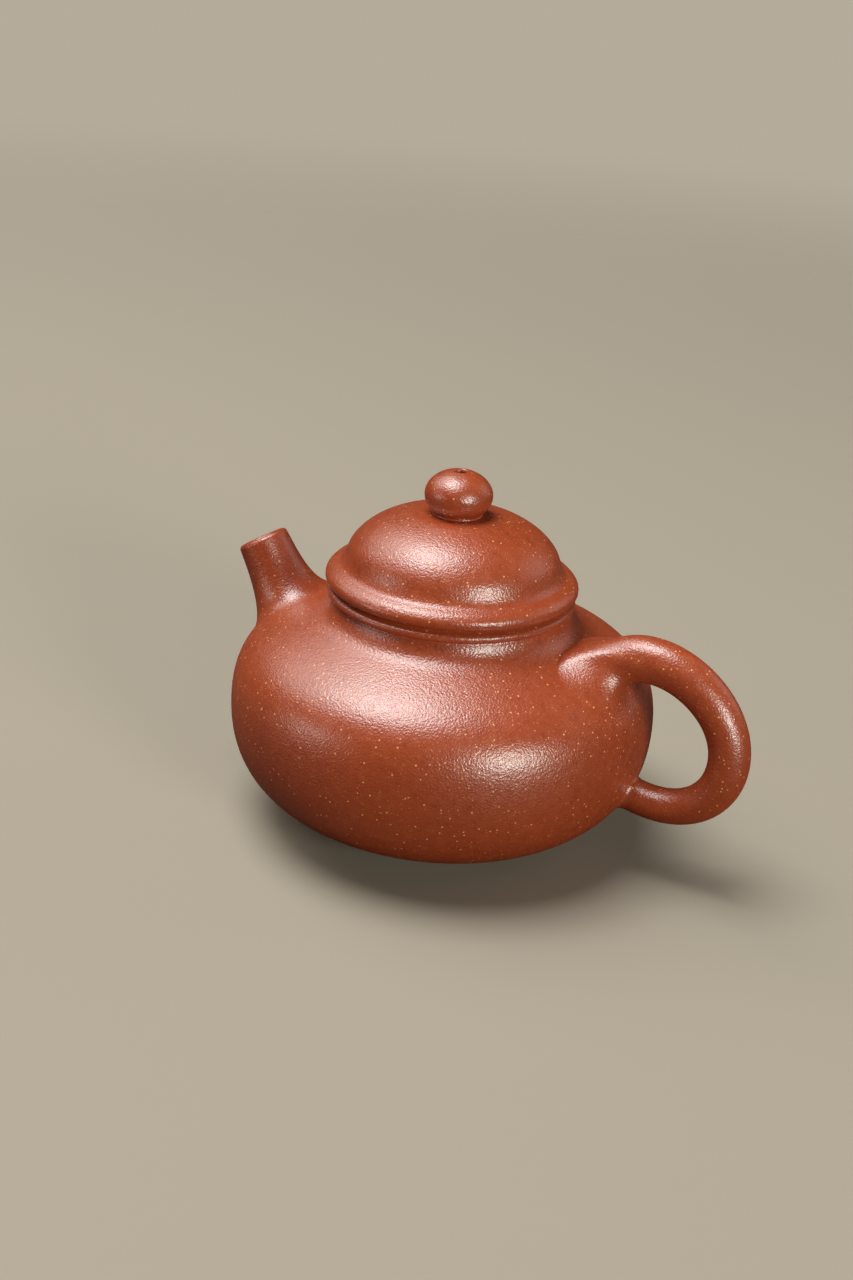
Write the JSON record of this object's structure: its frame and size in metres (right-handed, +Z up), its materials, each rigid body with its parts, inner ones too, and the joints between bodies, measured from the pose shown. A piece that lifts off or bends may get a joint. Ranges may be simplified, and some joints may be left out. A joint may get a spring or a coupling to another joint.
{
  "type": "clay teapot",
  "caption": "Small round unglazed clay teapot with a short spout, a loop handle and a lift-off domed lid with a pierced ball knob.",
  "frame": {"origin": "centre of the foot ring's resting plane", "axes": "+X towards the handle, with the spout towards -X; +Z up along the pot's axis; the XZ plane is the plane of symmetry"},
  "size_m": [0.102, 0.0776, 0.0671],
  "materials": {
    "clay": "satin",
    "clay_bare": "matte"
  },
  "bodies": {
    "pot": {"foot_ring": "clay_bare", "base_disc": "clay_bare", "belly_wall": "clay", "shoulder_disc": "clay", "neck_collar": "clay", "mouth_rim": "clay", "spout": "clay", "spout_strainer": "clay_bare", "handle": "clay"},
    "lid": {"lid_dome": "clay", "lid_rim": "clay", "lid_flange": "clay_bare", "knob": "clay"}
  },
  "joints": [
    {"name": "lid_lift", "type": "slide", "parent": "pot", "child": "lid", "axis": [0, 0, 1], "range_m": [0, 0.05]}
  ]
}
